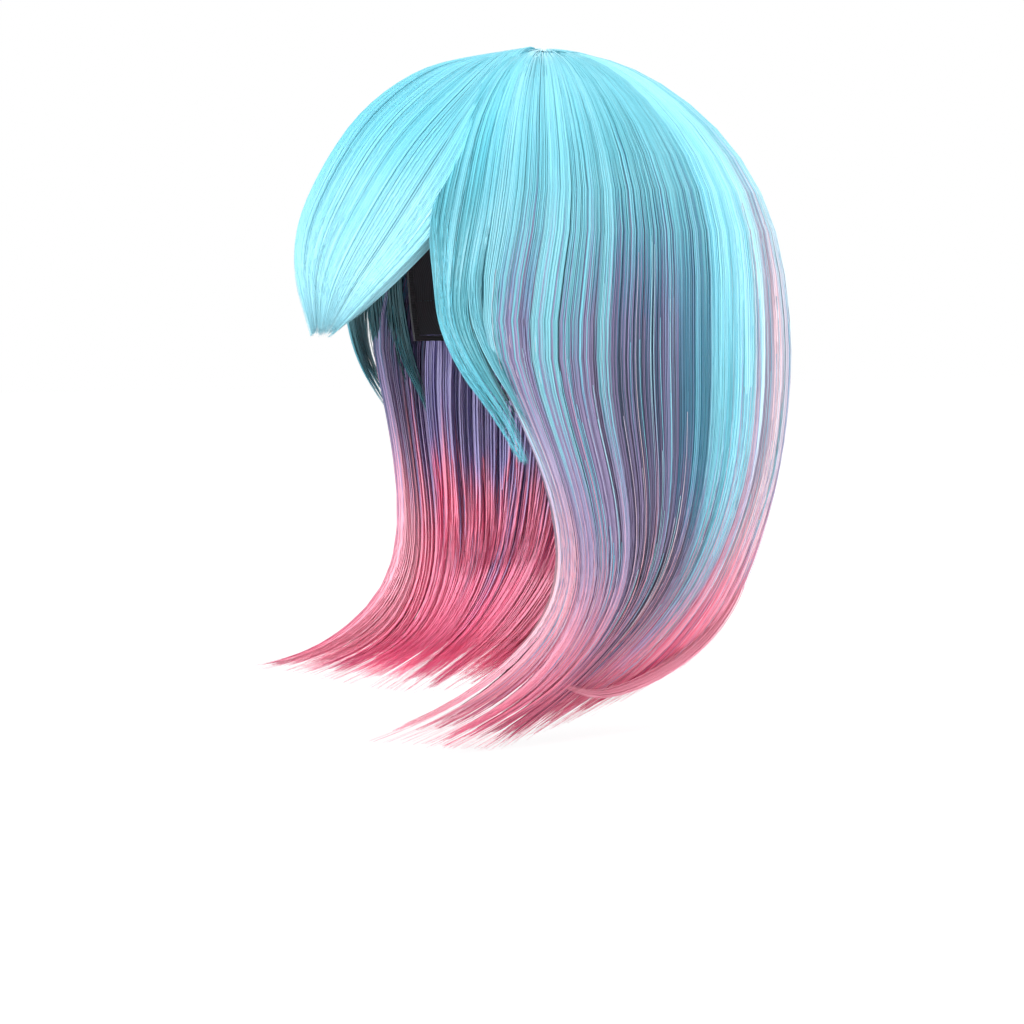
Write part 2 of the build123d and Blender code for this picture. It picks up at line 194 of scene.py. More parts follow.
def dome_line(angle, shares, sink=1.0):
    """A lock's stations over the crown, at an angle round the whorl (0 at the face)."""
    turn = math.radians(angle)
    return [(sink * hair_half_width * share * math.sin(turn),
             whorl_back - sink * hair_half_length * share * math.cos(turn),
             hair_rise + hair_dome_height * (math.sqrt(1 - share**2) - 1)) for share in shares]


def curtain_stations(angle):
    """Stations of a side or back lock, from a root close to the whorl down to the tip."""
    left = angle <= 180
    own = angle if left else 360 - angle
    hanging = across(left_locks, [own])[0]
    if not left:
        front = (180 - own) / (180 - face_edge_angle)
        reach, lift = np.array(right_reach) * front, np.array(right_lift) * front
        hanging = hanging * (-1, 1, 1) + np.stack([0 * reach, -reach, lift], axis=1)
    lean = face_edge_lean * max(0, (lean_end_angle - own) / (lean_end_angle - face_edge_angle))
    dome = dome_line(angle + lean if left else angle - lean, (root_share,) + dome_shares)
    return np.array(dome + [tuple(p) for p in hanging])


class Layer:
    """A layer of hair between an outer and an inner grid of points, keyed across and along."""

    def __init__(self, first_key, step, outer, inner):
        self.first_key, self.step = first_key, step
        self.outer, self.inner = outer, inner
        self.last_place = (outer.shape[1] - 1) * place_step

    def walls(self, keys, places):
        """Outer points at keys and places, the room inside them and the directions outwards."""
        outer, inner = self.at(self.outer, keys, places), self.at(self.inner, keys, places)
        return outer, np.linalg.norm(inner - outer, axis=-1), unit(outer - inner)

    def height(self, keys, places):
        """Heights of the outer grid at keys and places, which are spread to one shape."""
        return self.at(self.outer, *np.broadcast_arrays(keys, places))[..., 2]

    def at(self, grid, keys, places):
        """Points of a grid at keys and places, which are arrays of one shape."""
        rows = np.clip((keys - self.first_key) / self.step, 0, grid.shape[0] - 1.001)
        columns = np.clip(places / place_step, 0, grid.shape[1] - 1.001)
        i, j = rows.astype(int), columns.astype(int)
        u, v = (rows - i)[..., None], (columns - j)[..., None]
        return ((grid[i, j] * (1 - u) + grid[i + 1, j] * u) * (1 - v)
                + (grid[i, j + 1] * (1 - u) + grid[i + 1, j + 1] * u) * v)


dome_last = len(dome_shares)


def curtain_inner(line, places):
    """Inner line of an outer lock: down to the cap on the crown, thinner below."""
    fill = np.interp(places, range(dome_last + 1), dome_fill)[:, None]
    thickness = np.interp(places - dome_last - 1, range(len(hanging_thickness)), hanging_thickness)
    share = eased(places - dome_last)[:, None]
    to_cap = (on_cap(line) - line) * fill
    return line + to_cap * (1 - share) + (inward(line, thickness) - line) * share


def softened(lines, reach):
    """Lines with their bends eased by a running mean, and their ends where they were."""
    before = 2 * lines[:, :1] - lines[:, reach:0:-1]
    after = 2 * lines[:, -1:] - lines[:, -2:-reach - 2:-1]
    padded = np.concatenate([before, lines, after], axis=1)
    weights = np.hanning(2 * reach + 3)[1:-1]
    count = lines.shape[1]
    return sum(w * padded[:, i:i + count] for i, w in enumerate(weights / weights.sum()))


def curtain_layer():
    """The outer side and back hair, keyed by angle."""
    keys = stepped(face_edge_angle, 360 - face_edge_angle, angle_step)
    count = dome_last + 1 + len(hanging_thickness)
    places = stepped(0, count - 1, place_step)
    outer = softened(np.array([through(curtain_stations(key), places) for key in keys]), curtain_easing)
    inner = np.array([curtain_inner(line, places) for line in outer])
    return Layer(keys[0], angle_step, outer, inner)


def under_layer(curtain):
    """The hair of the lower weft rows behind the curtain, keyed by angle."""
    first = round(dome_last / place_step)
    places = stepped(0, len(under_thickness) - 1, place_step)
    cover = curtain.inner[:, first:first + len(places)]
    thickness = np.interp(places, range(len(under_thickness)), under_thickness)
    share = eased(places - 1)[:, None]
    outer = np.array([inward(line, layer_gap) for line in cover])
    inner = np.array([
        on_cap(line) * (1 - share) + inward(line, thickness) * share for line in outer])
    return Layer(curtain.first_key, angle_step, outer, inner)


def fringe_layer():
    """The fringe, keyed from -1 at its right edge to 1 at its left edge."""
    keys = stepped(-1, 1, key_step)
    both = dict(fringe_locks)
    for key, points in fringe_locks.items():
        both[-key] = [(-x, y, z) for x, y, z in points]
    places = stepped(0, len(fringe_thickness) - 1, place_step)
    whorl = np.array([0, whorl_back, hair_rise])
    outer = []
    for lock in across(both, keys):
        root = whorl + (lock[0] - whorl) * root_share / dome_shares[0]
        outer.append(through([root] + list(lock), places))
    outer = np.array(outer)
    thickness = np.interp(places, range(len(fringe_thickness)), fringe_thickness)[:, None]
    down = on_cap(outer) - outer
    room = np.linalg.norm(down, axis=-1, keepdims=True)
    return Layer(-1, key_step, outer, outer + unit(down) * np.minimum(thickness, room))


def temple_layer():
    """The hair between the fringe and the left side hair, keyed from 0 in front to 1 behind."""
    shares = (root_share,) + dome_shares
    locks = {key: dome_line(angle, shares, sink) + hanging
             for key, (angle, sink, hanging) in temple_locks.items()}
    keys = stepped(0, 1, key_step)
    places = stepped(0, len(locks[0.0]) - 1, place_step)
    outer = np.array([through(lock, places) for lock in across(locks, keys)])
    outer = softened(outer, temple_easing)
    down = on_cap(outer) - outer
    return Layer(0, key_step, outer, outer + unit(down) * temple_thickness)


def mirrored(layer):
    """The same layer on the wearer's right."""
    flip = np.array([-1, 1, 1])
    return Layer(layer.first_key, layer.step, layer.outer * flip, layer.inner * flip)


curtain = curtain_layer()
under = under_layer(curtain)
fringe = fringe_layer()
temple = temple_layer()

# ---- strands

classes_across = 8
class_variants = 16
outer_variants = 11
darkest, lightest = -0.40, 0.26
deep_shade = 0.45
pale_spread = 0.5
class_count = classes_across * class_variants
strand_sides = 3
shallow_depth = 0.3
deepest = 0.95
root_taper = 0.05
tip_taper = 0.192
tip_loss = 0.88
clump_relief, lock_relief = 0.35, 1.8
own_tone_spread = 0.04
# Each class has a strip of the baked picture, with a margin, and the strand's ends lie past its sides.
strip_margin = 0.15
strip_height = 0.7
picture_start, picture_end = 0.004, 0.996


def new_object(name, data):
    """An object in the scene for a mesh, a camera or a lamp."""
    piece = bpy.data.objects.new(name, data)
    bpy.context.scene.collection.objects.link(piece)
    return piece


def modelled(name, points, faces_by_size):
    """A piece from points in millimetres and face arrays, one array for each count of corners."""
    mesh = bpy.data.meshes.new(name)
    mesh.vertices.add(len(points))
    mesh.vertices.foreach_set("co", (points * mm).astype(np.float32).ravel())
    corners = np.concatenate([faces.ravel() for faces in faces_by_size])
    sizes = np.concatenate([np.full(len(faces), faces.shape[1]) for faces in faces_by_size])
    mesh.loops.add(len(corners))
    mesh.loops.foreach_set("vertex_index", corners.astype(np.int32))
    mesh.polygons.add(len(sizes))
    mesh.polygons.foreach_set("loop_start", (np.cumsum(sizes) - sizes).astype(np.int32))
    mesh.polygons.foreach_set("use_smooth", np.ones(len(sizes), bool))
    mesh.update(calc_edges=True)
    return new_object(name, mesh)


def side_quads(rings, size):
    """Faces between rings and the next ones, from the number of each ring's first point."""
    first, k = np.reshape(rings, (-1, 1)), np.arange(size)
    after = (k + 1) % size
    quads = [first + k, first + after, first + size + after, first + size + k]
    return np.stack(quads, axis=-1).reshape(-1, 4)


def store(piece, label, values):
    """A value for each point of a piece, under a name that materials read."""
    attribute = piece.data.attributes.new(label, "FLOAT", "POINT")
    attribute.data.foreach_set("value", values.astype(np.float32))


def strand_uvs(classes, count):
    """Places in the baked picture: sideways along a strand, upwards by its class and side."""
    strip = (classes[:, None, None, None] + strip_margin) / class_count
    side = np.arange(strand_sides)[None, None, :, None] + np.array([0, 0, 1, 1])
    v = strip + side * strip_height / class_count / strand_sides
    v = np.broadcast_to(v, (len(classes), count - 1, strand_sides, 4))
    along = np.linspace(picture_start, picture_end, count)
    ring = np.arange(count - 1)[None, :, None, None] + np.array([0, 1, 1, 0])
    u = np.broadcast_to(along[ring], v.shape)
    parts = [np.stack([u, v], axis=-1).reshape(-1, 2)]
    for middle in (picture_start / 4, 1 - picture_start / 4):
        v = (classes[:, None] + strip_margin + np.array([0.1, 0.35, 0.6])) / class_count
        u = np.broadcast_to(middle + np.array([0, picture_start / 5, 0]), v.shape)
        parts.append(np.stack([u, v], axis=-1).reshape(-1, 2))
    return np.concatenate(parts).astype(np.float32)


def tubes(name, lines, outward, widths, classes, colour, flatness=0.5):
    """Closed three-sided tapered tubes along lines (strands, points, 3), one piece for all."""
    strands, count = lines.shape[:2]
    tangent = unit(np.gradient(lines, axis=1))
    normal = unit(outward - tangent * np.sum(outward * tangent, axis=-1, keepdims=True))
    side = np.cross(tangent, normal)
    turns = rng.uniform(-0.4, 0.4, (strands, 1, 1)) + math.pi / 2
    rings = []
    for k in range(strand_sides):
        turn = turns + 2 * math.pi * k / strand_sides
        reach = side * np.cos(turn) + normal * np.sin(turn) * flatness
        rings.append(lines + reach * widths[..., None] / 2)
    points = np.stack(rings, axis=2).reshape(-1, 3)
    ring = (np.arange(strands)[:, None] * count + np.arange(count - 1)) * strand_sides
    quads = side_quads(ring, strand_sides)[:, [0, 3, 2, 1]]
    roots = np.arange(strands) * count * strand_sides
    tips = roots + (count - 1) * strand_sides
    ends = np.concatenate([np.stack([roots, roots + 1, roots + 2], axis=1),
                           np.stack([tips, tips + 2, tips + 1], axis=1)])
    piece = modelled(name, points, [quads, ends])
    places = piece.data.uv_layers.new(name="OFBake")
    places.data.foreach_set("uv", strand_uvs(classes, count).ravel())
    for label, values in colour.items():
        values = np.broadcast_to(values, (strands, count))
        store(piece, label, np.repeat(values.reshape(-1), strand_sides))
    return piece


class Clumps:
    """Neighbouring strands in groups of uneven width about a size."""

    def __init__(self, keys, first, last, size):
        edges = [first - size]
        while edges[-1] < last + size:
            edges.append(edges[-1] + size * rng.uniform(0.4, 1.7))
        edges = np.array(edges)
        self.index = np.searchsorted(edges, keys) - 1
        self.count = len(edges)
        self.middle = ((edges[:-1] + edges[1:]) / 2)[self.index]

    def shared(self, draw, *limits):
        """A random value for each group, given to all its strands."""
        return draw(*limits, self.count)[self.index]


def picked_variants(clumps, locks, deep):
    """A colour variant for each strand, near its lock's and its clump's own, deep ones apart."""
    of_lock = locks.shared(rng.uniform, 0.5, outer_variants - 1.5)
    of_clump = of_lock + clumps.shared(rng.normal, 0, 1.0)
    shallow = np.round(of_clump + rng.normal(0, 1.2, len(deep)))
    shallow = np.clip(shallow, 0, outer_variants - 1).astype(int)
    return np.where(deep, rng.integers(outer_variants, class_variants, len(deep)), shallow)


def middle(share):
    """A share along the strand from 0 over the crown to 1 below the ears."""
    return rising(share, 0.16, 0.3)


def class_middle(first, last, bins):
    """The keys in the middle of classes, one to a row."""
    return (first + (bins + 0.5) * (last - first) / classes_across)[:, None]


def strand_colour(layer, first, last, bins, variant, share, dye_and_painted_light_of, contrast, seed):
    """Dye, tone and paleness along the strands, the same for all strands of a class; tone and paleness
    also carry painted shade and painted light.
    """
    centre = class_middle(first, last, bins)
    heights = layer.height(centre, layer.last_place * share)
    noise = np.random.default_rng(seed).normal(0, 1, (class_count, 2))
    own = noise[bins * class_variants + variant]
    dye, change, pale = dye_and_painted_light_of(centre, heights, own[:, 0:1], variant[:, None])
    level = darkest + (lightest - darkest) * variant / (outer_variants - 1)
    level = np.where(variant < outer_variants, level, 0)[:, None]
    level = level * (contrast[0] + (contrast[1] - contrast[0]) * middle(share))
    tone = 1 + level + own_tone_spread * own[:, 1:2] + change
    return {"dye": dye, "tone": tone, "pale": np.clip(pale + pale_spread * level, -0.2, 0.85)}


def grow(name, layer, first, last, strands, dye_and_painted_light_of, points=27, width=0.68, dome_depth=8.0, root_steps=3,
         clump=1.7, lock=7.5, gather=(0.16, 0.16), part=0.12, relief=0.8, cut=1.3, clump_cut=0.3,
         lift=0.15, drift=0.5, deep_share=0.3, contrast=(0.3, 1.0), root_depth=2.5, cut_power=2.2):
    """Strands that fill a layer between two keys, gathered into clumps and, at the tips, locks.

    Their rings stand level with each other, so that neighbours lie smoothly side by side.
    """
    span = last - first
    keys = rng.uniform(first, last, strands)
    clumps = Clumps(keys, first, last, clump)
    locks = Clumps(keys, first, last, lock)
    depth = np.where(rng.random(strands) < deep_share, rng.uniform(shallow_depth, deepest, strands),
                     rng.uniform(0, shallow_depth, strands) ** 1.3)
    shared_cut = clumps.shared(rng.uniform, 0, clump_cut) + locks.shared(rng.uniform, 0, clump_cut)
    own_cut = cut * rng.random(strands) ** cut_power
    end = layer.last_place - (own_cut + shared_cut + depth * 0.5)
    share = np.linspace(0, 1, points)
    step = layer.last_place / (points + root_steps - 1)
    root = rng.integers(0, root_steps + 1, strands)
    places = (root[:, None] + np.arange(points)) * step
    late = rising(share, 0.45, 0.55)
    places = places + (end[:, None] - places[:, -1:]) * late
    tips = rising(share, 0.72, 0.28)
    k = keys[:, None] + (clumps.middle - keys)[:, None] * gather[0] * late
    parted = part * locks.shared(rng.uniform, 0.3, 1.0) * (depth < shallow_depth)
    k = k + (locks.middle[:, None] - k) * (gather[1] * tips + parted[:, None] * middle(share))
    k = k + rng.normal(0, drift, strands)[:, None] * np.sin(share * math.pi) * span / 40
    k = np.clip(k, first, last)
    outer, room, outward = layer.walls(k, places)
    bump = clumps.shared(rng.uniform, 0, 1) * relief * clump_relief
    bump = bump + locks.shared(rng.uniform, 0, 1) * relief * lock_relief
    bulge = (np.abs(keys - locks.middle) / lock * 2) ** 2 * relief
    rounded = (bump + np.minimum(bulge, 2 * relief))[:, None] * (0.15 + 0.85 * middle(share))
    sink = depth[:, None] * np.minimum(room, dome_depth) + rounded
    rise = lift * rng.random(strands)
    root_sink = root_depth * falling(share, 0.08, 0.08)
    lines = outer - outward * (sink + root_sink - rise[:, None])[..., None]
    taper = rising(share, 0, root_taper) * 0.6 + 0.4
    taper = taper * (1 - tip_loss * rising(share, 1 - tip_taper, tip_taper))
    widths = width * rng.uniform(0.75, 1.25, strands)[:, None] * (1 + 0.5 * depth[:, None]) * taper
    bins = np.clip(((keys - first) / span * classes_across).astype(int), 0, classes_across - 1)
    deep = depth > shallow_depth
    variant = picked_variants(clumps, locks, deep)
    seed = len(name) + int(first * 10) % 97
    colour = strand_colour(layer, first, last, bins, variant, share, dye_and_painted_light_of, contrast, seed)
    return tubes(name, lines, outward, widths, bins * class_variants + variant, colour)


def step_at(heights, level, spread=45.0):
    """0 above a height and 1 below it, over a spread."""
    return eased((level - heights) / spread + 0.5)


dye_angles = (58, 75, 92, 108, 126, 133, 142, 158, 168, 180)
lilac_heights = (-118, -130, -150, -190, -244, -236, -50, -20, -60, -150)
pink_heights = (-236, -262, -288, -294, -280, -262, -222, -205, -200, -200)
hot_heights = (-305, -316, -326, -328, -312, -300, -288, -275, -268, -262)
aqua_later = 45.0
low_shade_height = -262.0
far_side_sooner = 42.0
streak_start = -15.0
streak_spread = 65.0
shadow_heights = (-325, -295, -240, -190, -130, -70, -10, 20)
shadow_tones = (0.0, -0.12, -0.26, -0.36, -0.40, -0.28, -0.13, 0.0)
paler_heights = (-320, -290, -250, -200, 30)
paler_shares = (-0.05, 0.05, 0.2, 0.1, 0.1)
slate_variants = 3
lilac_variants = 6
aqua_variants = 8
front_lock_angle = 76.0
pink_streak_angle = 146.5
side_end, side_fade = 123.0, 18.0
far_start, far_spread = 190.0, 60.0
# Bands of angle: where each starts, over what spread, where it ends and over what spread.
behind_angles = (131, 10, 182, 14)
bright_angles = (114, 10, 144, 8)
low_shade_angles = (92, 10, 132, 10)


def within(values, start, rise, end, fall):
    """1 from a start to an end, less within the spread of each, and 0 outside."""
    return rising(values, start, rise) * falling(values, end, fall)


def folded(angles):
    """Angles round the whorl with the wearer's right laid over the left."""
    return np.where(angles <= 180, angles, 360 - angles)


def depth_shade(heights, variant):
    """Painted shade: the darker tone of the strands that lie deep, away from the crown."""
    return -deep_shade * (variant >= outer_variants) * falling(heights, 20, 110)


def curtain_dye_and_painted_light(angles, heights, jitter, variant):
    """Aqua 0, lilac 1, pink 2 and hot pink 3, change of tone and paleness of side and back hair; the
    change of tone holds painted shadow and painted shade, and painted light on the far side.
    """
    own = folded(angles)
    shift = 14 * jitter
    deep = variant >= outer_variants
    early = np.where(deep, 30, np.where(variant >= aqua_variants, -aqua_later, 0))
    sooner = np.where(angles > 200, far_side_sooner, 0)
    lilac = step_at(heights, np.interp(own, dye_angles, lilac_heights) + shift + early, 70)
    pink = step_at(heights, np.interp(own, dye_angles, pink_heights) + shift + sooner, 60)
    hot = step_at(heights, np.interp(own, dye_angles, hot_heights) + shift, 60)
    dye = lilac + pink + hot
    band = own + 2.5 * jitter
    beside_face = falling(band, side_end, side_fade)
    behind = within(band, *behind_angles) * falling(heights, 25, 80)
    bright = within(band, *bright_angles) * rising(heights, -250, 60)
    streak = falling(heights, streak_start, streak_spread)
    # Slate is a blue-grey dye on some locks beside the face; given to the deep strands there, and made
    # darker and less pale, it is also painted shade in the gaps between locks.
    slate = ((variant < slate_variants) | deep) * beside_face
    lilac_lock = ((variant >= slate_variants) & (variant < lilac_variants)) * beside_face
    pink_lock = (variant > slate_variants) * falling(np.abs(own - pink_streak_angle), 5.6, 4)
    for lock, depth_of_dye in ((slate, 0.62), (lilac_lock, 0.95), (pink_lock, 1.75)):
        dye = np.maximum(dye, depth_of_dye * lock * streak)
    far = rising(angles, far_start, far_spread)
    front = falling(own, front_lock_angle, 10) * falling(heights, -110, 50)
    # Painted shadow beside the face, with less of it on the far side, on the front lock and on deep
    # strands.
    shadow = beside_face * np.interp(heights, shadow_heights, shadow_tones)
    shadow = shadow * (1 - 0.8 * far) * (1 - front) * (1 - 0.6 * deep)
    # Painted shade on the near side's lower hair, round 262 mm down.
    low_shade = within(band, *low_shade_angles) * (angles < 180)
    low_shade = low_shade * falling(np.abs(heights - low_shade_height), 44.8, 28) * (1 - deep)
    pale = np.interp(heights, paler_heights, paler_shares) + 0.08 * bright - 0.15 * slate * streak
    pale = pale + 0.5 * behind * rising(heights, -270, 60) + 0.25 * front
    change = shadow + 0.2 * behind + 0.26 * bright - 0.32 * low_shade - 0.1 * slate * streak
    # Painted light: the far side is lighter below about 140 mm down, and has less painted shade, where its
    # inside would lie in shade.
    change = change + 0.36 * far * falling(heights, -140, 60)
    return dye, change + (1 - 0.85 * far) * depth_shade(heights, variant), pale


def under_dye_and_painted_light(angles, heights, jitter, variant):
    """The hair underneath is lilac from the start and turns pink where the curtain does; its tone is
    lighter on the far side as painted light and darker on deep strands elsewhere as painted shade.
    """
    own = folded(angles)
    shift = 14 * jitter + np.where(angles > 200, far_side_sooner, 0)
    pink = step_at(heights, np.interp(own, dye_angles, pink_heights) + 18 + shift, 60)
    dye = 0.9 + 1.15 * pink + step_at(heights, -285 + 14 * jitter)
    far = rising(angles, far_start, 40)
    return dye, 0.25 * far + 0.3 * (1 - far) * depth_shade(heights, variant), 0.0


def nearly_aqua(heights, jitter):
    """Aqua with a little shift."""
    return np.clip(0.03 * jitter, 0, 0.08) + 0 * heights


def aqua_dye(keys, heights, jitter, variant):
    """Aqua all the way down."""
    return nearly_aqua(heights, jitter), 0.0, 0.12


def fringe_dye_and_highlight(keys, heights, jitter, variant):
    """Aqua with a painted highlight that grows paler and lighter down the fringe."""
    # Painted highlight: paler and lighter below the crown, as on the lit front of the fringe.
    low = falling(heights, 0, 100)
    return nearly_aqua(heights, jitter), 0.03 + 0.14 * low, 0.06 + 0.2 * low


def temple_dye_and_shade(keys, heights, jitter, variant):
    """Aqua with painted teal shadow between the locks beside the face."""
    # Painted shadow lower down the locks, and painted shade on the deep strands.
    change = -0.30 * falling(heights, 10, 60) + depth_shade(heights, variant)
    return nearly_aqua(heights, jitter), change, 0.04


# ---- materials


def linear(colour):
    """Linear light from an 8-bit sRGB colour."""
    return tuple(
        (c / 12.92 if c <= 0.04045 else ((c + 0.055) / 1.055) ** 2.4)
        for c in (channel / 255 for channel in colour)) + (1.0,)


dye_colours = ((0.0, (104, 206, 225)), (0.17, (114, 166, 208)), (0.33, (166, 148, 200)),
               (0.5, (214, 152, 190)), (0.67, (244, 142, 172)), (1.0, (238, 104, 140)))


class Nodes:
    """The node tree of a material or a world, with short calls for its nodes."""

    def __init__(self, owner):
        owner.use_nodes = True
        self.owner, self.tree = owner, owner.node_tree
        self.shader = self.tree.nodes.get("Principled BSDF")

    def add(self, kind, **values):
        """A node with its settings."""
        node = self.tree.nodes.new(kind)
        for key, value in values.items():
            setattr(node, key, value)
        return node

    def link(self, start, end):
        """A link from an output to an input."""
        self.tree.links.new(start, end)

    def set(self, **values):
        """Values on the shader's own sockets, by name with underscores for spaces."""
        for key, value in values.items():
            self.shader.inputs[key.replace("_", " ")].default_value = value

    def attribute(self, name):
        """A value that the mesh holds for each of its points."""
        return self.add("ShaderNodeAttribute", attribute_name=name).outputs["Fac"]

    def math(self, operation, *values):
        """A sum on numbers and outputs."""
        node = self.add("ShaderNodeMath", operation=operation)
        for socket, value in zip(node.inputs, values):
            if isinstance(value, float):
                socket.default_value = value
            else:
                self.link(value, socket)
        return node.outputs[0]

    def texture(self, kind, inputs, **settings):
        """The outputs of a texture on the object's own coordinates."""
        node = self.add(kind, **settings)
        for name, value in inputs.items():
            node.inputs[name].default_value = value
        self.link(self.add("ShaderNodeTexCoord").outputs["Object"], node.inputs["Vector"])
        return node.outputs

    def noise(self, scale, detail=2.0):
        """A noise value."""
        return self.texture("ShaderNodeTexNoise", {"Scale": scale, "Detail": detail})["Fac"]

    def ramp(self, source, stops):
        """A colour ramp on a value, from stops of place and sRGB colour."""
        node = self.add("ShaderNodeValToRGB")
        while len(node.color_ramp.elements) < len(stops):
            node.color_ramp.elements.new(0.5)
        for element, (place, colour) in zip(node.color_ramp.elements, stops):
            element.position = place
            element.color = linear(colour)
        self.link(source, node.inputs["Fac"])
        return node.outputs["Color"]

    def paint(self, source, *stops):
        """A ramp on a value as the shader's colour."""
        self.link(self.ramp(source, stops), self.shader.inputs["Base Color"])

    def bump(self, height, strength, distance):
        """A bump from a height, in metres."""
        node = self.add("ShaderNodeBump")
        node.inputs["Strength"].default_value = strength
        node.inputs["Distance"].default_value = distance
        self.link(height, node.inputs["Height"])
        self.link(node.outputs["Normal"], self.shader.inputs["Normal"])

    def camera_ray_mix(self, lit, pale, output):
        """A pale shader for the camera, also through gloss and glass, and a lit one for the rest."""
        path = self.add("ShaderNodeLightPath").outputs
        seen = self.math("MAXIMUM", path["Is Camera Ray"], path["Is Glossy Ray"])
        mix = self.add("ShaderNodeMixShader")
        self.link(self.math("MAXIMUM", seen, path["Is Transmission Ray"]), mix.inputs[0])
        self.link(lit, mix.inputs[1])
        self.link(pale, mix.inputs[2])
        self.link(mix.outputs[0], output)


def new_material(name):
    """The nodes of a new material."""
    return Nodes(bpy.data.materials.new(name))


def fibre_material():
    """Dyed synthetic fibre: the dye runs along each strand and each strand has its own tone; tone and
    paleness also carry painted shade and painted light.
    """
    made = new_material("dyed_fibre")
    tinted = made.add("ShaderNodeHueSaturation")
    share = made.math("DIVIDE", made.attribute("dye"), 3.0)
    made.link(made.ramp(share, dye_colours), tinted.inputs["Color"])
    made.link(made.attribute("tone"), tinted.inputs["Value"])
    made.link(made.math("SUBTRACT", 1.0, made.attribute("pale")), tinted.inputs["Saturation"])
    made.link(tinted.outputs["Color"], made.shader.inputs["Base Color"])
    made.set(Roughness=0.32, Specular_IOR_Level=0.75)
    return made.owner


def finish_hair(piece, slot, *replaced):
    """Material, body and the CAD nodes that a piece of hair stands for; the slot is not used."""
    piece.data.materials.append(fibre)
    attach(piece, "cap")
    if replaced:
        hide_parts(*replaced)


def plant(node, slot, *area, **shape):
    """Strands in place of a CAD node."""
    finish_hair(grow(node + "_strands", *area, **shape), slot, node)


fibre = fibre_material()

panel_strands = 1250
panels = ("side_hair_front_left", "side_hair_rear_left", "back_hair_left", "back_hair_centre",
          "back_hair_right", "side_hair_rear_right", "side_hair_front_right")
panel_edges = (58, 92, 126, 162, 198, 234, 268, 302)
for node, first, last in zip(panels, panel_edges, panel_edges[1:]):
    plant(node, "lock_fibre", curtain, first, last, panel_strands, curtain_dye_and_painted_light)

under_panels = (
    ("under_hair_side_left", 76, 126, 500),
    ("under_hair_back_left", 126, 162, 420),
    ("under_hair_back_centre", 162, 198, 400),
    ("under_hair_back_right", 198, 234, 420),
    ("under_hair_side_right", 234, 284, 500),
)
for node, first, last, strands in under_panels:
    plant(node, "under_fibre", under, first, last, strands, under_dye_and_painted_light, points=16, width=1.2,
          gather=(0.1, 0.1), dome_depth=16, root_steps=1)

fringe_strands = 1100
fringe_panels = (
    ("fringe_hair_left", 0.355, 1.0),
    ("fringe_hair_centre", -0.355, 0.355),
    ("fringe_hair_right", -1.0, -0.355),
)
for node, first, last in fringe_panels:
    plant(node, "fringe_fibre", fringe, first, last, fringe_strands, fringe_dye_and_highlight, clump=0.05,
          lock=0.22, relief=0.25, cut=0.3, clump_cut=0.05, gather=(0.04, 0.0), part=0.0,
          drift=0.3, contrast=(0.2, 0.2))

for side, layer in (("left", temple), ("right", mirrored(temple))):
    plant("temple_lock_" + side, "crown_fibre", layer, 0.0, 1.0, 700, temple_dye_and_shade, clump=0.05,
          lock=0.2, width=0.75, relief=0.5, cut=2.6, gather=(0.3, 0.35), drift=0.8, cut_power=1.0,
          dome_depth=4.0, contrast=(0.4, 0.7))


loose_points = 24
loose_width = 0.34
loose_tone = 1.05
stray_width = 0.6


def flyaways(name, layer, first, last, strands, dye_and_painted_light_of, slot, looseness=1.0):
    """Thin loose hairs that stand off the surface and curl out at their ends."""
    share = np.linspace(0, 1, loose_points)
    keys = rng.uniform(first, last, strands)[:, None] + rng.normal(0, 1.6, (strands, 1)) * share**2
    keys = np.clip(keys, first, last)
    begin = rng.uniform(0.3, 0.75, strands)[:, None] * layer.last_place
    places = begin + (layer.last_place - begin) * share
    outer, _, outward = layer.walls(keys, places)
    stand = looseness * rng.uniform(1, 5, (strands, 1)) * share**2 - 0.8 * (1 - share)
    lines = outer + outward * stand[..., None]
    sway = looseness * rng.normal(0, 1.5, (strands, 1, 3)) * (share**2)[None, :, None]
    lines = lines + sway * np.array([1, 1, 0.4])
    widths = loose_width * (1 - 0.7 * share) * np.ones((strands, 1))
    classes = rng.integers(0, class_count, strands)
    centre = class_middle(first, last, classes // class_variants)
    heights = layer.height(centre, layer.last_place * (0.5 + 0.5 * share))
    zero = np.zeros((strands, 1))
    dye, _, pale = dye_and_painted_light_of(centre, heights, zero, zero.astype(int) + aqua_variants)
    colour = {"dye": dye, "tone": loose_tone, "pale": pale}
    loose = tubes(name, lines, outward, widths, classes, colour, flatness=0.9)
    finish_hair(loose, slot)


flyaways("loose_side_hairs", curtain, 60, 300, 420, curtain_dye_and_painted_light, "lock_fibre")
flyaways("loose_temple_hairs", temple, 0.0, 0.4, 50, temple_dye_and_shade, "crown_fibre", 0.7)
flyaways("loose_fringe_hairs", fringe, -0.9, 0.9, 40, fringe_dye_and_highlight, "fringe_fibre", 0.25)


whorl_shares = (0.001, 0.06, 0.11, 0.16, 0.205)
whorl_depth = 6.0


def whorl_layer():
    """The crown round the whorl, keyed by angle all the way round."""
    keys = stepped(0, 360, angle_step)
    places = stepped(0, len(whorl_shares) - 1, place_step)
    outer = np.array([through(dome_line(key, whorl_shares), places) for key in keys])
    return Layer(0, angle_step, outer, outer - np.array([0, 0, whorl_depth]))


# Short strands that turn out of the whorl and run under the long ones.
plant("whorl_hair", "crown_fibre", whorl_layer(), 0.0, 360.0, 1100, aqua_dye, points=12, width=0.7,
      root_steps=0, clump=4, lock=12, gather=(0.1, 0.0), relief=0.2, cut=1.4, part=0.0,
      clump_cut=0.3, lift=0.3, drift=0.1, deep_share=0.2, root_depth=0.4)

stray_route = ((15, 121, -240), (23, 113, -258), (30, 97, -276), (40, 74, -291), (52, 44, -302),
               (62, 16, -305), (71, -8, -297))


